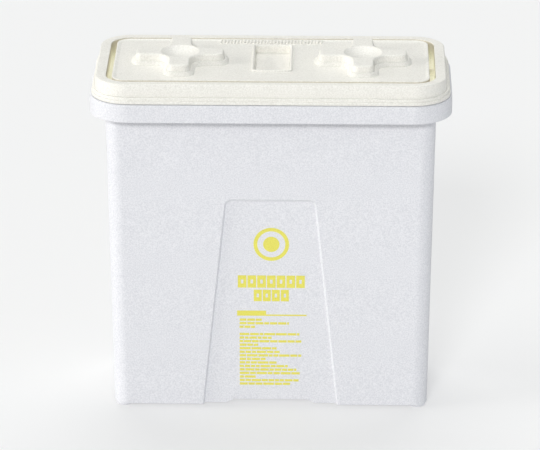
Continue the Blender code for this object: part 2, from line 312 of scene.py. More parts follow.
# %% The leaning front wall as a drawing plane
lean = math.atan2(body_top_y - body_foot_y, skirt_bottom - body_edge_z)
wall_up = Vector((0, -math.sin(lean), math.cos(lean)))
wall_out = Vector((0, -math.cos(lean), -math.sin(lean)))
front_wall = Matrix((Vector((1, 0, 0)), wall_up, wall_out)).transposed().to_4x4()
front_wall.translation = Vector((0, -body_foot_y, body_edge_z))

panel_depth = 3.4 * MM
panel_draft = 0.65
panel_top_draft = 1.15
panel_top = 259.0 * MM
panel_top_half = 52.6 * MM
panel_slope = 0.1035
panel_corner = 7 * MM
outside = 4 * MM


def panel_face(bm, grow, bottom, extra_top=0.0):
    """The panel's outline as one face on the wall plane, grown outwards."""
    top = panel_top + grow + extra_top
    quad = flat_quad(bm)
    for vert in quad:
        high = vert.co.y > 0
        vert.co.y = top if high else bottom
        half = panel_top_half + panel_slope * (panel_top - vert.co.y) + grow
        vert.co.x = math.copysign(half, vert.co.x)
    high_verts = [vert for vert in quad if vert.co.y > 0]
    round_points(bm, high_verts, panel_corner + grow, 8)
    return bm.faces[:]


def points_in(grown):
    """The points in what an extrude has made."""
    return [item for item in grown if isinstance(item, bmesh.types.BMVert)]


def thicken(bm, faces, low, high):
    """Turns a flat face into a slab between two heights over the drawing plane."""
    grown = bmesh.ops.extrude_face_region(bm, geom=faces)["geom"]
    top = points_in(grown)
    bottom = [vert for vert in bm.verts if vert not in top]
    bmesh.ops.translate(bm, verts=top, vec=(0, 0, high))
    bmesh.ops.translate(bm, verts=bottom, vec=(0, 0, low))
    bmesh.ops.recalc_face_normals(bm, faces=bm.faces)


def lowest_face(bm):
    return min(bm.faces, key=lambda face: face.calc_center_median().z)


def highest_face(bm):
    """The largest of the faces at the top, in a list."""
    return [max(bm.faces, key=lambda face: (round(face.calc_center_median().z, 5), face.calc_area()))]


print(f"front wall leans {math.degrees(lean):.2f} degrees, panel {panel_depth / MM:.1f} mm deep")

# %% Panel tools
panel_tool = bmesh.new()
extra_draft = panel_top_draft - panel_draft
panel_mouth = panel_face(panel_tool, outside * panel_draft, -2 * outside, outside * extra_draft)
thicken(panel_tool, panel_mouth, outside, 2 * outside)
reach = outside + panel_depth
bmesh.ops.inset_region(
    panel_tool,
    faces=[lowest_face(panel_tool)],
    thickness=reach * panel_draft,
    depth=reach,
    use_even_offset=True,
)
high_verts = [vert for vert in lowest_face(panel_tool).verts if vert.co.y > panel_top / 2]
bmesh.ops.translate(panel_tool, verts=high_verts, vec=(0, -reach * extra_draft, 0))
panel_tool.transform(front_wall)

backing_tool = bmesh.new()
backing_margin = 0.5 * MM
backing_sink = 1.5 * MM
backing_bottom = base_top - body_edge_z - backing_sink
backing_faces = panel_face(backing_tool, backing_margin, backing_bottom)
thicken(backing_tool, backing_faces, -pail_wall - panel_depth, -pail_wall / 2)
backing_tool.transform(front_wall)

both_sides = (0.0, 180.0)
combine(pail, backing_tool, "UNION", both_sides)
print("pail with backing, open edges:", open_edges(pail))

# %% Feet
foot_radius = 10.2 * MM
foot_round = 3 * MM
foot_inset = 12.2 * MM
foot_overlap = 1 * MM
foot_x = body_foot_x - foot_inset
foot_y = body_foot_y - foot_inset
foot_height = base_underside + foot_overlap

for foot_side_x in (-1, 1):
    for foot_side_y in (-1, 1):
        foot = bmesh.new()
        bmesh.ops.create_cone(
            foot,
            cap_ends=True,
            segments=48,
            radius1=foot_radius,
            radius2=foot_radius,
            depth=foot_height,
        )
        rim = [edge for edge in foot.edges if all(vert.co.z < 0 for vert in edge.verts)]
        round_edges(foot, rim, foot_round, 6)
        place = (foot_side_x * foot_x, foot_side_y * foot_y, foot_height / 2)
        bmesh.ops.translate(foot, verts=foot.verts, vec=place)
        combine(pail, foot, "UNION")
print("pail with feet, open edges:", open_edges(pail))

# %% Panel and notch
notch_half = 49 * MM
notch_rise = 3.6 * MM
notch_flare = 5 * MM
notch_inside = 12 * MM
notch_round = 1.2 * MM

combine(pail, panel_tool, "DIFFERENCE", both_sides)

notch_tool = bmesh.new()
bmesh.ops.create_cube(notch_tool, size=1)
for vert in notch_tool.verts:
    low = vert.co.z < 0
    vert.co.x = math.copysign(notch_half + (notch_flare if low else 0), vert.co.x)
    vert.co.y = -body_foot_y + (-outside if vert.co.y < 0 else notch_inside)
    vert.co.z = body_edge_z + (-outside if low else notch_rise)
notch_run = notch_inside + outside
long_edges = [edge for edge in notch_tool.edges if abs(edge.calc_length() - notch_run) < MM / 10]
top_edges = [edge for edge in long_edges if edge.verts[0].co.z > body_edge_z]
round_edges(notch_tool, top_edges, notch_round, 4)
bmesh.ops.recalc_face_normals(notch_tool, faces=notch_tool.faces)
combine(pail, notch_tool, "DIFFERENCE", both_sides)
print("pail with panel and notch, open edges:", open_edges(pail))

# %% Scoop
scoop_top = 16.2 * MM
scoop_top_half = 38 * MM
scoop_depth = 1.5 * MM
# The cutter runs a little past both ends of the slope, in shares of its fall.
scoop_foot_share = 1.3
scoop_top_share = -0.05

scoop_tool = bmesh.new()
bmesh.ops.create_cube(scoop_tool, size=1)
scoop_fall = scoop_top - notch_rise
for vert in scoop_tool.verts:
    low = vert.co.y < 0
    inner = vert.co.z < 0
    share = scoop_foot_share if low else scoop_top_share
    half = notch_half if low else scoop_top_half
    depth = panel_depth + scoop_depth * share
    vert.co.x = math.copysign(half - (scoop_depth * max(share, 0) if inner else 0), vert.co.x)
    vert.co.y = scoop_top - scoop_fall * share
    vert.co.z = -depth if inner else outside
bmesh.ops.recalc_face_normals(scoop_tool, faces=scoop_tool.faces)
scoop_tool.transform(front_wall)
combine(pail, scoop_tool, "DIFFERENCE", both_sides)
print("pail finished, open edges:", open_edges(pail), "faces:", len(pail.data.polygons))

# %% Measure the wall behind the panel
# A ray from in front of the panel meets the wall twice, at its outer and at its inner face.
probe = Vector((5 * MM, -0.3, 200 * MM))
inwards = Vector((0, 1, 0))
crossings = []
while len(crossings) < 2:
    _, crossing, _, _ = pail.ray_cast(probe, inwards)
    crossings.append(crossing.y)
    probe = crossing + inwards * MM / 100
print(f"wall behind the panel: {(crossings[1] - crossings[0]) / MM:.2f} mm")

# %% [markdown]
# ## The lid's shell
# The lid is another loft. From the middle of its underside the cross-section goes down the plug, up into
# the groove that takes the pail's lip, out along the flange's underside and round its stepped edge. Then it
# climbs the raised border, drops into the deep channel and comes up to the lip of the middle island.

# %% Lid cross-section
lid_wall = 2.2 * MM
flange_corner = 44.5 * MM
border_x = flange_x - 5.9 * MM
border_y = flange_y - 5.7 * MM
border_corner = 36 * MM
border_top = flange_low + 21.8 * MM
border_width_x = 12 * MM
border_width_y = 10.3 * MM
channel_floor = flange_low + 1.8 * MM
island_x = border_x - 18.8 * MM
island_y = border_y - 15 * MM
island_corner = 15.5 * MM
island_lip = flange_low + 22.0 * MM
island_floor = flange_low + 21.2 * MM
flange_back = 0.7 * MM
flange_edge = flange_low - 0.6 * MM
flange_step = flange_low + 3.4 * MM
flange_top = flange_low + 7.0 * MM
flange_step_width = 1.3 * MM
border_draft = 0.7 * MM
island_lip_width = 2 * MM


def flange_level(height, inset, rounding=0.0):
    inset += flange_back
    return level(flange_x - inset, flange_y - inset, flange_corner - inset, height, rounding)


def border_level(height, inset, rounding=0.0):
    return level(border_x - inset, border_y - inset, border_corner - inset, height, rounding)


def border_inner_level(height, grow, rounding=0.0):
    half_x = border_x - border_width_x + grow
    half_y = border_y - border_width_y + grow
    return level(half_x, half_y, border_corner - border_width_x + grow, height, rounding)


def island_level(height, inset, rounding=0.0):
    return level(island_x - inset, island_y - inset, island_corner - inset, height, rounding)


lid_rows = [
    island_level(island_floor - lid_wall, lid_wall + 6 * MM),
    island_level(island_floor - lid_wall, lid_wall, 1 * MM),
    island_level(lid_bottom, lid_wall, 0.8 * MM),
    border_inner_level(lid_bottom, lid_wall, 1.2 * MM),
    border_inner_level(border_top - lid_wall, lid_wall, 0.8 * MM),
    border_level(border_top - lid_wall, lid_wall, 0.8 * MM),
    border_level(flange_top - lid_wall, lid_wall, 0.8 * MM),
    flange_level(flange_top - lid_wall, lid_wall, 0.8 * MM),
    flange_level(flange_edge, lid_wall, 0.6 * MM),
    flange_level(flange_edge, 0, 0.6 * MM),
    flange_level(flange_step, 0, 0.7 * MM),
    flange_level(flange_step, flange_step_width, 0.4 * MM),
    flange_level(flange_top, flange_step_width, 1.1 * MM),
    border_level(flange_top, -border_draft, 0.8 * MM),
    border_level(border_top, 0, 1.6 * MM),
    border_inner_level(border_top, 0, 0.9 * MM),
    border_inner_level(channel_floor, 0, 1.2 * MM),
    island_level(channel_floor, 0, 1.2 * MM),
    island_level(island_lip, 0, 0.9 * MM),
    island_level(island_lip, island_lip_width, 0.6 * MM),
    island_level(island_floor, 5 * MM, 0.8 * MM),
    island_level(island_floor, 8 * MM),
]
lid = piece_from(loft(lid_rows), "lid")
print("lid shell:", len(lid.data.polygons), "faces, open edges:", open_edges(lid))

# %% [markdown]
# ## The clover bosses
# Each boss starts as a plus sign: a square with its four edges extruded outwards, dissolved into one face.
# Bevelling its corner points gives the round lobe ends and the wide hollow corners. Insets then raise the
# sloping foot and the upper wall, with a narrow step between them, and bevels round the step and the top
# edge. The dish is the bottom of a large sphere, cut out afterwards, and a smaller clover hollows the boss
# from below.

# %% Boss outline
boss_x = 105.3 * MM
boss_y = -3 * MM
lobe_half = 12.4 * MM
lobe_reach_x = 50.5 * MM
lobe_reach_y = 51 * MM
lobe_round = 7 * MM
hollow_round = 17 * MM
boss_step_width = 1.6 * MM
boss_foot = 5.6 * MM
boss_step_z = flange_low + 25.4 * MM
hollow_ceiling = flange_low + 24.6 * MM


def clover(bm, grow, height):
    """A flat cross with round lobe ends and hollow corners, offset outwards by grow."""
    half = lobe_half + grow
    reach_x = lobe_reach_x + grow
    reach_y = lobe_reach_y + grow
    square = flat_quad(bm, half)
    sides = list(square[0].link_faces[0].edges)
    for side in sides:
        middle = (side.verts[0].co + side.verts[1].co) / 2
        tip = points_in(bmesh.ops.extrude_edge_only(bm, edges=[side])["geom"])
        away = Vector((0, reach_y - half, 0))
        if abs(middle.x) > abs(middle.y):
            away = Vector((reach_x - half, 0, 0))
        if middle.x + middle.y < 0:
            away.negate()
        bmesh.ops.translate(bm, verts=tip, vec=away)
    bmesh.ops.dissolve_faces(bm, faces=bm.faces[:])
    tips = [vert for vert in bm.verts if abs(vert.co.x) > half + MM or abs(vert.co.y) > half + MM]
    inner = [vert for vert in bm.verts if vert not in tips]
    round_points(bm, tips, lobe_round + grow, 8)
    round_points(bm, inner, hollow_round - grow, 10)
    bmesh.ops.translate(bm, verts=bm.verts, vec=(0, 0, height))
    return bm.faces[:]


def raise_faces(bm, faces, height, keep_bottom=False):
    """Extrudes the faces straight up and returns the new top faces. A loose outline keeps its bottom."""
    grown = bmesh.ops.extrude_face_region(bm, geom=faces)["geom"]
    bmesh.ops.translate(bm, verts=points_in(grown), vec=(0, 0, height))
    if not keep_bottom:
        bmesh.ops.delete(bm, geom=faces, context="FACES_ONLY")
    return [item for item in grown if isinstance(item, bmesh.types.BMFace)]


def rim_of(faces):
    """The edges round a patch of faces."""
    inside = set(faces)
    return [edge for face in faces for edge in face.edges if not set(edge.link_faces) <= inside]


print(f"boss lobes reach {lobe_reach_x / MM:.1f} and {lobe_reach_y / MM:.1f} mm from the boss's middle")

# %% Boss, hollow and dish tools
boss_sink = 1 * MM
boss_kerb = 0.6 * MM
boss_step_margin = 0.8 * MM
boss_step_flat = 0.4 * MM
boss_wall_lean = 1.3 * MM
boss_step_round = 1.2 * MM
boss_top_round = 1.7 * MM
dish_radius = 22.5 * MM
dish_depth = 6 * MM


def boss_solid():
    """A sloping lower tier, a narrow step, and an upper wall that is rounded into the flat top."""
    bm = bmesh.new()
    base = clover(bm, boss_foot, island_floor - boss_sink)
    top = raise_faces(bm, base, boss_sink + boss_kerb, keep_bottom=True)
    slope = boss_foot - boss_step_width - boss_step_margin
    rise = boss_step_z - island_floor - boss_kerb
    bmesh.ops.inset_region(bm, faces=top, thickness=slope, depth=rise, use_even_offset=True)
    round_edges(bm, rim_of(top), boss_step_round, 4)
    top = highest_face(bm)
    bmesh.ops.inset_region(bm, faces=top, thickness=boss_step_flat, use_even_offset=True)
    climb = boss_top - boss_step_z
    bmesh.ops.inset_region(bm, faces=top, thickness=boss_wall_lean, depth=climb, use_even_offset=True)
    round_edges(bm, rim_of(top), boss_top_round, 5)
    bmesh.ops.recalc_face_normals(bm, faces=bm.faces)
    return bm


def dish_solid():
    sphere = (dish_radius**2 + dish_depth**2) / (2 * dish_depth)
    bm = bmesh.new()
    bmesh.ops.create_uvsphere(bm, u_segments=96, v_segments=120, radius=sphere)
    bmesh.ops.bisect_plane(
        bm,
        geom=bm.verts[:] + bm.edges[:] + bm.faces[:],
        plane_co=(0, 0, -sphere + 3 * dish_depth),
        plane_no=(0, 0, 1),
        clear_outer=True,
    )
    bmesh.ops.holes_fill(bm, edges=[edge for edge in bm.edges if edge.is_boundary])
    bmesh.ops.translate(bm, verts=bm.verts, vec=(0, 0, boss_top - dish_depth + sphere))
    bmesh.ops.recalc_face_normals(bm, faces=bm.faces)
    return bm


def boss_hollow_solid():
    bm = bmesh.new()
    base_z = island_floor - lid_wall - outside
    raise_faces(bm, clover(bm, -lid_wall, base_z), hollow_ceiling - base_z, keep_bottom=True)
    bmesh.ops.recalc_face_normals(bm, faces=bm.faces)
    return bm


print(f"boss walls climb {(boss_top - boss_step_z) / MM:.1f} mm above the step")

# %% Join, hollow and dish the bosses
for boss_side in (-1, 1):
    for make, boss_operation in (
        (boss_solid, "UNION"),
        (boss_hollow_solid, "DIFFERENCE"),
        (dish_solid, "DIFFERENCE"),
    ):
        shape = make()
        bmesh.ops.translate(shape, verts=shape.verts, vec=(boss_side * boss_x, boss_y, 0))
        combine(lid, shape, boss_operation)
        print("lid after", make.__name__, "open edges:", open_edges(lid))

# %% [markdown]
# ## The pocket
# The rectangular pocket is a small tub let into the island, with a low lip round its mouth. A stepped block
# is joined on first, narrow under the lid and wider at the lip, and its inside is cut out afterwards. That
# leaves walls about as thick as the rest of the lid.

# %% Pocket
pocket_x = 20.3 * MM
pocket_y = 44.3 * MM
pocket_middle = Vector((0.8 * MM, 6.5 * MM, 0))
pocket_floor = flange_low + 13.2 * MM
pocket_lip = flange_low + 23.0 * MM
pocket_corner = 2.5 * MM
pocket_least_corner = 1.5 * MM
pocket_cap = -6 * MM
pocket_draft = 0.5 * MM
pocket_mouth = 1.5 * MM
pocket_flare = 5 * MM
pocket_rim = 3.2 * MM
pocket_shoulder = island_floor - lid_wall + 0.8 * MM


def pocket_solid(rows):
    bm = loft(rows)
    bmesh.ops.translate(bm, verts=bm.verts, vec=pocket_middle)
    return bm


def pocket_level(height, grow, rounding=0.0):
    corner = max(pocket_corner + grow, pocket_least_corner)
    return level(pocket_x + grow, pocket_y + grow, corner, height, rounding)


combine(
    lid,
    pocket_solid(
        [
            pocket_level(pocket_floor - lid_wall, pocket_cap),
            pocket_level(pocket_floor - lid_wall, lid_wall, 1 * MM),
            pocket_level(pocket_shoulder, lid_wall),
            pocket_level(pocket_shoulder, pocket_rim),
            pocket_level(pocket_lip, pocket_rim, 1.4 * MM),
            pocket_level(pocket_lip, pocket_cap),
        ]
    ),
    "UNION",
)
combine(
    lid,
    pocket_solid(
        [
            pocket_level(pocket_floor, pocket_cap),
            pocket_level(pocket_floor, -pocket_draft, 0.3 * MM),
            pocket_level(pocket_lip - pocket_mouth, 0, 1.2 * MM),
            pocket_level(pocket_lip, pocket_mouth),
            pocket_level(pocket_lip + outside, pocket_flare),
            pocket_level(pocket_lip + outside, pocket_cap),
        ]
    ),
    "DIFFERENCE",
)
print("lid finished, open edges:", open_edges(lid), "faces:", len(lid.data.polygons))

# %% [markdown]
# ## Small relief on the lid
# A row of plain short ribs, a little slanted, stands at the back edge of the island, and one low rib
# bridges the right end of the channel. They are single blocks with bevelled edges, joined to the shell like
# everything else.

# %% Ribs
def rib_block(bm, middle_x, middle_y, half_x, half_y, low, high, rounding):
    """One block with its upright and top edges rounded, added to the mesh."""
    cube = bmesh.ops.create_cube(bm, size=2)["verts"]
    bmesh.ops.scale(bm, verts=cube, vec=(half_x, half_y, (high - low) / 2))
    bmesh.ops.translate(bm, verts=cube, vec=(middle_x, middle_y, (low + high) / 2))
    edges = {edge for vert in cube for edge in vert.link_edges}
    soft = [edge for edge in edges if max(vert.co.z for vert in edge.verts) > (low + high) / 2]
    round_edges(bm, soft, rounding, 2)
    return [vert for vert in bm.verts if abs(vert.co.x - middle_x) < half_x + MM / 10]


ribs = bmesh.new()
rib_pitch = 3.9 * MM
rib_count = 31
rib_middle_x = -1.5 * MM
rib_y = 65.2 * MM
rib_slant = 0.1
for index in range(rib_count):
    rib_x = rib_middle_x + (index - (rib_count - 1) / 2) * rib_pitch
    rib = rib_block(
        ribs,
        middle_x=rib_x,
        middle_y=rib_y,
        half_x=1.2 * MM,
        half_y=6.2 * MM,
        low=island_floor - MM,
        high=island_floor + 1.5 * MM,
        rounding=1.0 * MM,
    )
    for vert in rib:
        vert.co.x += rib_slant * (vert.co.y - rib_y)
combine(lid, ribs, "UNION")

channel_rib = bmesh.new()
channel_middle = (island_x + border_x - border_width_x) / 2
rib_block(
    channel_rib,
    middle_x=channel_middle,
    middle_y=8 * MM,
    half_x=6 * MM,
    half_y=1.2 * MM,
    low=channel_floor - MM,
    high=channel_floor + 7 * MM,
    rounding=0.5 * MM,
)
combine(lid, channel_rib, "UNION")
print("lid with ribs, open edges:", open_edges(lid))

# %% [markdown]
# ## Soft edges
# No moulded edge is sharp. A Bevel modifier rounds whatever is steeper than the fillets already are, and a
# Weighted Normal modifier keeps the large flat walls looking flat beside their round edges.

# %% Finish the shells
def finish_shell(piece, width):
    piece.data.shade_smooth()
    bevel = piece.modifiers.new("soft edges", "BEVEL")
    bevel.width = width
    bevel.segments = 2
    bevel.limit_method = "ANGLE"
    bevel.angle_limit = math.radians(35)
    bevel.use_clamp_overlap = True
    normals = piece.modifiers.new("flat walls", "WEIGHTED_NORMAL")
    normals.keep_sharp = False
    normals.weight = 100


def mark_channel(piece, name):
    """Writes 0 to 1 on each point: how deep it lies in the channel between the island and the border."""
    attribute = piece.data.attributes.new(name, "FLOAT", "POINT")
    border_inner_x = border_x - border_width_x + 0.3 * MM
    border_inner_y = border_y - border_width_y + 0.3 * MM
    for vert, mark in zip(piece.data.vertices, attribute.data):
        across, along, height = abs(vert.co.x), abs(vert.co.y), vert.co.z
        inside_border = across < border_inner_x and along < border_inner_y
        corner_x = max(across - (island_x - island_corner), 0)
        corner_y = max(along - (island_y - island_corner), 0)
        outside_island = math.hypot(corner_x, corner_y) > island_corner - 0.4 * MM
        if inside_border and outside_island and height > channel_floor - 0.1 * MM:
            depth = (border_top - 0.5 * MM - height) / (border_top - channel_floor)
            mark.value = min(max(depth, 0), 1)


for shell in (pail, lid):
    if open_edges(shell):
        raise RuntimeError(f"{shell.name} is not closed: {open_edges(shell)} open edges")
soft_edge = 0.35 * MM
finish_shell(pail, soft_edge)
finish_shell(lid, soft_edge)
# The channel depth drives the lid's painted shade and painted glow.
mark_channel(lid, "channel")
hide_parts("pail_body")
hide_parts("lid_cover")
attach(pail, "pail")
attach(lid, "lid")
print("shells ride on their bodies")

# %% [markdown]
# ## The print
# The front panel carries yellow screen print. It holds no wording: plain blocks and bars stand in for the
# title and the lines of text, and a plain ring with one disc in its middle stands over them. Ink is a film,
# so each mark is a very thin plate that is drawn on the wall plane and carried there by the same matrix.

# %% Print helpers
ink_film = 0.06 * MM
ink_sink = 0.04 * MM


def place_print(bm, name):
    """Gives the flat marks the thickness of a film and sets them on the floor of the panel."""
    thicken(bm, bm.faces[:], -panel_depth - ink_sink, -panel_depth + ink_film)
    bm.transform(front_wall)
    mark = piece_from(bm, name)
    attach(mark, "pail")
    return mark


def bar(bm, left, right, low, high):
    """One flat rectangle on the drawing plane."""
    quad = flat_quad(bm)
    bmesh.ops.scale(bm, verts=quad, vec=((right - left) / 2, (high - low) / 2, 1))
    bmesh.ops.translate(bm, verts=quad, vec=((left + right) / 2, (low + high) / 2, 0))


print(f"ink film {ink_film / MM:.2f} mm thick over the panel")

# %% Emblem
def ring(bm, centre, inner, outer):
    """A flat ring: two concentric circles, bridged."""
    edges = []
    for radius in (inner, outer):
        circle = bmesh.ops.create_circle(bm, cap_ends=False, segments=72, radius=radius)["verts"]
        bmesh.ops.translate(bm, verts=circle, vec=(*centre, 0))
        edges += {edge for vert in circle for edge in vert.link_edges}
    bmesh.ops.bridge_loops(bm, edges=edges)


def disc(bm, centre, radius):
    circle = bmesh.ops.create_circle(bm, cap_ends=True, segments=40, radius=radius)["verts"]
    bmesh.ops.translate(bm, verts=circle, vec=(*centre, 0))


emblem_middle = Vector((1 * MM, 202 * MM))
emblem = bmesh.new()
ring(emblem, emblem_middle, inner=16.2 * MM, outer=20.6 * MM)
disc(emblem, emblem_middle, radius=9.5 * MM)
emblem_print = place_print(emblem, "print_emblem")
print("emblem faces:", len(emblem_print.data.polygons))

# %% Title blocks
title_middle = 1 * MM
block_gap = 1.2 * MM
title = bmesh.new()
for block_count, row_low, row_height, row_width in (
    (7, 147.5 * MM, 15.5 * MM, 79 * MM),
    (4, 130.5 * MM, 14.5 * MM, 42 * MM),
):
    pitch = row_width / block_count
    for index in range(block_count):
        left = title_middle - row_width / 2 + pitch * index + block_gap / 2
        right = left + pitch - block_gap
        slot_left = left + 0.36 * (right - left)
        slot_right = left + 0.64 * (right - left)
        slot_low = row_low + 0.34 * row_height
        slot_high = row_low + 0.66 * row_height
        bar(title, left, right, row_low, slot_low)
        bar(title, left, right, slot_high, row_low + row_height)
        bar(title, left, slot_left, slot_low, slot_high)
        bar(title, slot_right, right, slot_low, slot_high)
title_print = place_print(title, "print_title_blocks")
print("title faces:", len(title_print.data.polygons))

# %% Text bars
text_left = -36 * MM
text_width = 72 * MM
heading_low = 112 * MM
heading_end = -5.1 * MM
bars = bmesh.new()
bar(bars, left=-38.8 * MM, right=heading_end, low=heading_low, high=118.6 * MM)
bar(bars, left=heading_end, right=42 * MM, low=heading_low, high=113.8 * MM)

# Each paragraph is the height of its top line, in millimetres, and how far its lines reach across the column.
paragraphs = (
    (108.5, (0.36, 0.80, 0.25)),
    (90.2, (0.97, 0.52, 1.0, 0.30)),
    (72.1, (0.60, 0.65, 1.0, 0.42)),
    (54.0, (0.60, 0.78, 0.92, 1.0, 0.30)),
    (31.4, (0.97, 0.82)),
)
line_pitch = 4.53 * MM
line_height = 2.9 * MM
word_gap = 0.9 * MM
shortest_end = 2 * MM
random.seed(11)
for top_line, reaches in paragraphs:
    for index, reach_share in enumerate(reaches):
        high = top_line * MM - index * line_pitch
        end_of_line = text_left + text_width * reach_share
        start = text_left
        while end_of_line - start > shortest_end:
            end = min(start + random.uniform(4, 13) * MM, end_of_line)
            bar(bars, start, end, high - line_height, high)
            start = end + word_gap
bars_print = place_print(bars, "print_text_bars")
print("text faces:", len(bars_print.data.polygons))

# %% [markdown]
# ## Materials
# Both shells are satin polypropylene. The mould's sand-blasted surface gives a fine grain, which shows as a
# faint mottle in the light and as tiny bumps. One node group makes the grain, another the handling marks, and
# each material places them with its own numbers.

# %% Node helpers
def add_node(tree, kind, **settings):
    node = tree.nodes.new(kind)
    for key, value in settings.items():
        setattr(node, key, value)
    return node


def new_group(name, inputs, outputs):
    """An empty shader node group with named float inputs and outputs."""
    tree = bpy.data.node_groups.new(name, "ShaderNodeTree")
    for label, value in inputs:
        socket = tree.interface.new_socket(label, in_out="INPUT", socket_type="NodeSocketFloat")
        socket.default_value = value
    for label in outputs:
        tree.interface.new_socket(label, in_out="OUTPUT", socket_type="NodeSocketFloat")
    return tree, tree.nodes.new("NodeGroupInput"), tree.nodes.new("NodeGroupOutput")


def math_node(tree, operation, first, second):
    """A Math node whose two inputs are sockets or numbers."""
    node = add_node(tree, "ShaderNodeMath", operation=operation)
    for socket, value in zip(node.inputs, (first, second)):
        if isinstance(value, (int, float)):
            socket.default_value = value
        else:
            tree.links.new(value, socket)
    return node.outputs["Value"]


def noise(tree, scale, detail, roughness):
    """Fractal noise in the piece's own coordinates. The scale is a socket or a number, per metre."""
    coordinates = add_node(tree, "ShaderNodeTexCoord")
    node = add_node(tree, "ShaderNodeTexNoise")
    node.inputs["Detail"].default_value = detail
    node.inputs["Roughness"].default_value = roughness
    tree.links.new(coordinates.outputs["Object"], node.inputs["Vector"])
    if isinstance(scale, (int, float)):
        node.inputs["Scale"].default_value = scale
    else:
        tree.links.new(scale, node.inputs["Scale"])
    return node.outputs["Fac"]


print("node helpers: add_node, new_group, math_node and noise")

# %% Grain and wear groups
grain_group, grain_in, grain_out = new_group(
    "moulded grain", [("Scale", 650.0), ("Contrast", 2.6)], ["Height", "Mottle"]
)
fine = noise(grain_group, grain_in.outputs["Scale"], detail=1.5, roughness=0.7)
broad = noise(grain_group, scale=42.0, detail=3.0, roughness=0.5)
grain_group.links.new(fine, grain_out.inputs["Height"])
fine_part = math_node(grain_group, "SUBTRACT", fine, 0.5)
fine_part = math_node(grain_group, "MULTIPLY", fine_part, grain_in.outputs["Contrast"])
broad_part = math_node(grain_group, "MULTIPLY", math_node(grain_group, "SUBTRACT", broad, 0.5), 0.25)
mottle = math_node(grain_group, "ADD", math_node(grain_group, "ADD", fine_part, broad_part), 0.5)
mottle = math_node(grain_group, "MINIMUM", math_node(grain_group, "MAXIMUM", mottle, 0.0), 1.0)
grain_group.links.new(mottle, grain_out.inputs["Mottle"])

wear_group, wear_in, wear_out = new_group(
    "handling marks", [("Amount", 0.5), ("Scale", 140.0)], ["Scuff"]
)
streak_source = add_node(wear_group, "ShaderNodeTexCoord")
streak_map = add_node(wear_group, "ShaderNodeMapping")
streak_map.inputs["Scale"].default_value = (1.0, 1.0, 0.16)
streaks = add_node(wear_group, "ShaderNodeTexNoise")
streaks.inputs["Detail"].default_value = 4.0
wear_group.links.new(streak_source.outputs["Object"], streak_map.inputs["Vector"])
wear_group.links.new(streak_map.outputs["Vector"], streaks.inputs["Vector"])
wear_group.links.new(wear_in.outputs["Scale"], streaks.inputs["Scale"])
above = math_node(wear_group, "SUBTRACT", streaks.outputs["Fac"], 0.62)
sharp = math_node(wear_group, "MULTIPLY", above, 6.0)
floor_zero = math_node(wear_group, "MAXIMUM", sharp, 0.0)
scuff = math_node(wear_group, "MULTIPLY", floor_zero, wear_in.outputs["Amount"])
wear_group.links.new(scuff, wear_out.inputs["Scuff"])
print("node groups:", [group.name for group in bpy.data.node_groups])


# %% Materials for the shells, the ink and the seal
def new_material(name):
    material = bpy.data.materials.new(name)
    material.use_nodes = True
    return material, material.node_tree, material.node_tree.nodes["Principled BSDF"]


def placed(tree, group, **values):
    node = add_node(tree, "ShaderNodeGroup", node_tree=group)
    for label, value in values.items():
        node.inputs[label].default_value = value
    return node


def blend_colours(tree, factor, dark, light):
    ramp = add_node(tree, "ShaderNodeMix", data_type="RGBA")
    ramp.inputs["A"].default_value = (*dark, 1)
    ramp.inputs["B"].default_value = (*light, 1)
    tree.links.new(factor, ramp.inputs["Factor"])
    return ramp.outputs["Result"]


def moulded_plastic(name, dark, light, roughness, grain_scale, bump, wear):
    """Satin polypropylene. It returns the material, its node tree, its shader and the grain node."""
    material, tree, shader = new_material(name)
    grain = placed(tree, grain_group, Scale=grain_scale, Contrast=2.6)
    marks = placed(tree, wear_group, Amount=wear, Scale=140.0)
    tree.links.new(blend_colours(tree, grain.outputs["Mottle"], dark, light), shader.inputs["Base Color"])
    spread = math_node(tree, "MULTIPLY", grain.outputs["Mottle"], 0.12)
    worn = math_node(tree, "MULTIPLY", marks.outputs["Scuff"], 0.10)
    base = math_node(tree, "ADD", spread, roughness)
    tree.links.new(math_node(tree, "SUBTRACT", base, worn), shader.inputs["Roughness"])
    bumps = add_node(tree, "ShaderNodeBump")
    bumps.inputs["Strength"].default_value = bump
    bumps.inputs["Distance"].default_value = 0.15 * MM
    tree.links.new(grain.outputs["Height"], bumps.inputs["Height"])
    tree.links.new(bumps.outputs["Normal"], shader.inputs["Normal"])
    return material, tree, shader, grain


pail_plastic, *_ = moulded_plastic(
    "pail plastic",
    dark=(0.68, 0.683, 0.72),
    light=(0.84, 0.838, 0.868),
    roughness=0.42,
    grain_scale=650.0,
    bump=0.5,
    wear=0.5,
)
lid_plastic, lid_tree, lid_shader, lid_grain = moulded_plastic(
    "lid plastic",
    dark=(0.80, 0.78, 0.72),
    light=(0.94, 0.92, 0.865),
    roughness=0.38,
    grain_scale=600.0,
    bump=0.4,
    wear=0.4,
)
print("plastics:", pail_plastic.name, "and", lid_plastic.name)
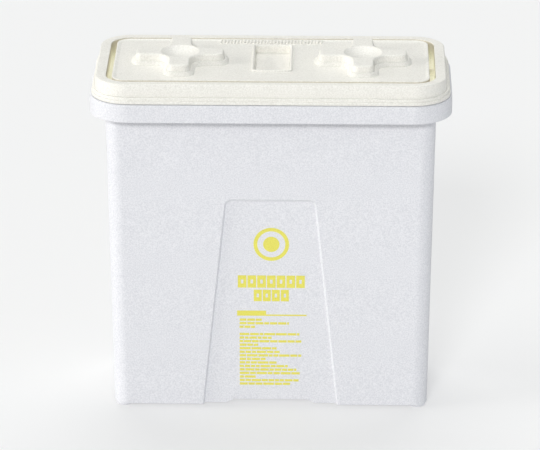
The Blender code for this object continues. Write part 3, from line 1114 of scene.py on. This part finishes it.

# %% [markdown]
# The deep channel round the lid's island is the one place that isn't clean white: in its shade and warm
# bounce light it looks tan, and this is painted. The depth stored on the lid's points tints the channel with
# a painted tan shade evenly from just under its edges down, and a power of the depth gives a faint painted
# glow, strongest at the floor.

# %% The channel's painted shade and painted glow
channel_depth = add_node(lid_tree, "ShaderNodeAttribute", attribute_name="channel").outputs["Fac"]
# Painted shade: the base colour is mixed towards tan with the channel's depth, darkening the channel where
# shade falls.
channel_shade_rise = math_node(lid_tree, "MULTIPLY", channel_depth, 12.0)
painted_channel_shade = math_node(lid_tree, "MINIMUM", channel_shade_rise, 0.5)
unshaded_colour_link = lid_shader.inputs["Base Color"].links[0]
shaded_channel_colour = add_node(lid_tree, "ShaderNodeMix", data_type="RGBA")
shaded_channel_colour.inputs["B"].default_value = (0.58, 0.50, 0.34, 1)
lid_tree.links.new(painted_channel_shade, shaded_channel_colour.inputs["Factor"])
lid_tree.links.new(unshaded_colour_link.from_socket, shaded_channel_colour.inputs["A"])
lid_tree.links.new(shaded_channel_colour.outputs["Result"], lid_shader.inputs["Base Color"])
# Painted glow: an emission that rises with the channel's depth, broken up a little by the grain, lights the
# channel floor.
painted_glow_share = math_node(lid_tree, "POWER", channel_depth, 1.5)
painted_glow_break = math_node(lid_tree, "MULTIPLY", lid_grain.outputs["Mottle"], 0.3)
painted_glow_share = math_node(lid_tree, "MULTIPLY", painted_glow_share, math_node(lid_tree, "ADD", painted_glow_break, 0.85))
painted_glow = blend_colours(lid_tree, painted_glow_share, (0.0, 0.0, 0.0), (0.25, 0.27, 0.21))
lid_tree.links.new(painted_glow, lid_shader.inputs["Emission Color"])
lid_shader.inputs["Emission Strength"].default_value = 1.0
print("the lid's plastic has", len(lid_tree.nodes), "nodes")

# %% Give the shells their plastic
pail.data.materials.clear()
pail.data.materials.append(pail_plastic)
lid.data.materials.clear()
lid.data.materials.append(lid_plastic)

ink, ink_tree, ink_shader = new_material("yellow ink")
ink_grain = placed(ink_tree, grain_group, Scale=900.0, Contrast=2.0)
ink_tree.links.new(
    blend_colours(ink_tree, ink_grain.outputs["Mottle"], (0.74, 0.68, 0.09), (0.86, 0.80, 0.15)),
    ink_shader.inputs["Base Color"],
)
ink_gloss = math_node(ink_tree, "MULTIPLY", ink_grain.outputs["Mottle"], 0.3)
ink_tree.links.new(math_node(ink_tree, "ADD", ink_gloss, 0.25), ink_shader.inputs["Roughness"])
for obj in bpy.data.objects:
    if obj.name.startswith("print_"):
        obj.data.materials.append(ink)

foam, foam_tree, foam_shader = new_material("seal foam")
foam_grain = placed(foam_tree, grain_group, Scale=2500.0, Contrast=2.0)
foam_tree.links.new(
    blend_colours(foam_tree, foam_grain.outputs["Mottle"], (0.16, 0.16, 0.17), (0.34, 0.34, 0.35)),
    foam_shader.inputs["Base Color"],
)
foam_bumps = add_node(foam_tree, "ShaderNodeBump")
foam_bumps.inputs["Distance"].default_value = 0.3 * MM
foam_tree.links.new(foam_grain.outputs["Height"], foam_bumps.inputs["Height"])
foam_tree.links.new(foam_bumps.outputs["Normal"], foam_shader.inputs["Normal"])
foam_shader.inputs["Roughness"].default_value = 0.85
seal = frame["nodes"]["lid_seal"]
for material_slot in seal.material_slots:
    material_slot.material = foam
print("materials:", [material.name for material in bpy.data.materials])

# %% [markdown]
# ## Floor, light and camera
# The pail stands on a plain pale floor that glows like a light table, so its shadows stay pale. The front
# light is a little left of the camera and only slightly above it, so shadows stay short. A low one on the
# left makes the left corner bright, one from above and behind lights the lid and the floor, and a weak cool
# one fills the right. The camera is far away with a long lens, a little right of the middle.

# %% Floor
floor_half = 30
floor_mesh = bmesh.new()
flat_quad(floor_mesh, floor_half)
floor = piece_from(floor_mesh, "floor")
floor_material, _, floor_shader = new_material("pale floor")
floor_shader.inputs["Base Color"].default_value = (0.48, 0.48, 0.48, 1)
floor_shader.inputs["Emission Color"].default_value = (1, 1, 1, 1)
floor_shader.inputs["Emission Strength"].default_value = 0.42
floor_shader.inputs["Roughness"].default_value = 0.9
floor_shader.inputs["Specular IOR Level"].default_value = 0.1
floor.data.materials.append(floor_material)
print("floor:", 2 * floor_half, "m across")


# %% Lights
def soft_light(name, azimuth, elevation, spread, strength, colour):
    """A distant soft light. Azimuth is from the front, to the right; angles are in degrees."""
    light = bpy.data.lights.new(name, "SUN")
    light.angle = math.radians(spread)
    light.energy = strength
    light.color = colour
    lamp = bpy.data.objects.new(name, light)
    turn, rise = math.radians(azimuth), math.radians(elevation)
    towards = Vector((math.sin(turn) * math.cos(rise), -math.cos(turn) * math.cos(rise), math.sin(rise)))
    lamp.rotation_euler = towards.to_track_quat("Z", "Y").to_euler()
    bpy.context.scene.collection.objects.link(lamp)


soft_light("front light", -10, 30, 12, 1.31, (1.0, 1.0, 0.99))
soft_light("left light", -82, 15, 30, 1.52, (1.0, 0.995, 0.96))
soft_light("right fill", 60, 30, 30, 0.10, (0.45, 0.75, 1.0))
soft_light("top light", 180, 62, 40, 1.28, (1.0, 1.0, 0.98))

world = bpy.data.worlds.new("studio")
world.use_nodes = True
world.node_tree.nodes["Background"].inputs["Color"].default_value = (0.95, 0.98, 1.0, 1)
world.node_tree.nodes["Background"].inputs["Strength"].default_value = 0.3
bpy.context.scene.world = world
bpy.context.scene.view_settings.view_transform = "Standard"

# %% Camera
camera_azimuth = math.radians(1.12)
camera_elevation = math.radians(21.27)
camera_distance = 4.544
camera_data = bpy.data.cameras.new("camera")
camera_data.sensor_width = 36
camera_data.lens = 258.4
camera_data.clip_end = 100
camera = bpy.data.objects.new("camera", camera_data)
aim = Vector((-1.9 * MM, 0, 201.6 * MM))
back = Vector(
    (
        math.sin(camera_azimuth) * math.cos(camera_elevation),
        -math.cos(camera_azimuth) * math.cos(camera_elevation),
        math.sin(camera_elevation),
    )
)
camera.location = aim + back * camera_distance
camera.rotation_euler = (-back).to_track_quat("-Z", "Y").to_euler()
bpy.context.scene.collection.objects.link(camera)
bpy.context.scene.camera = camera
print("camera at", [round(value, 3) for value in camera.location])
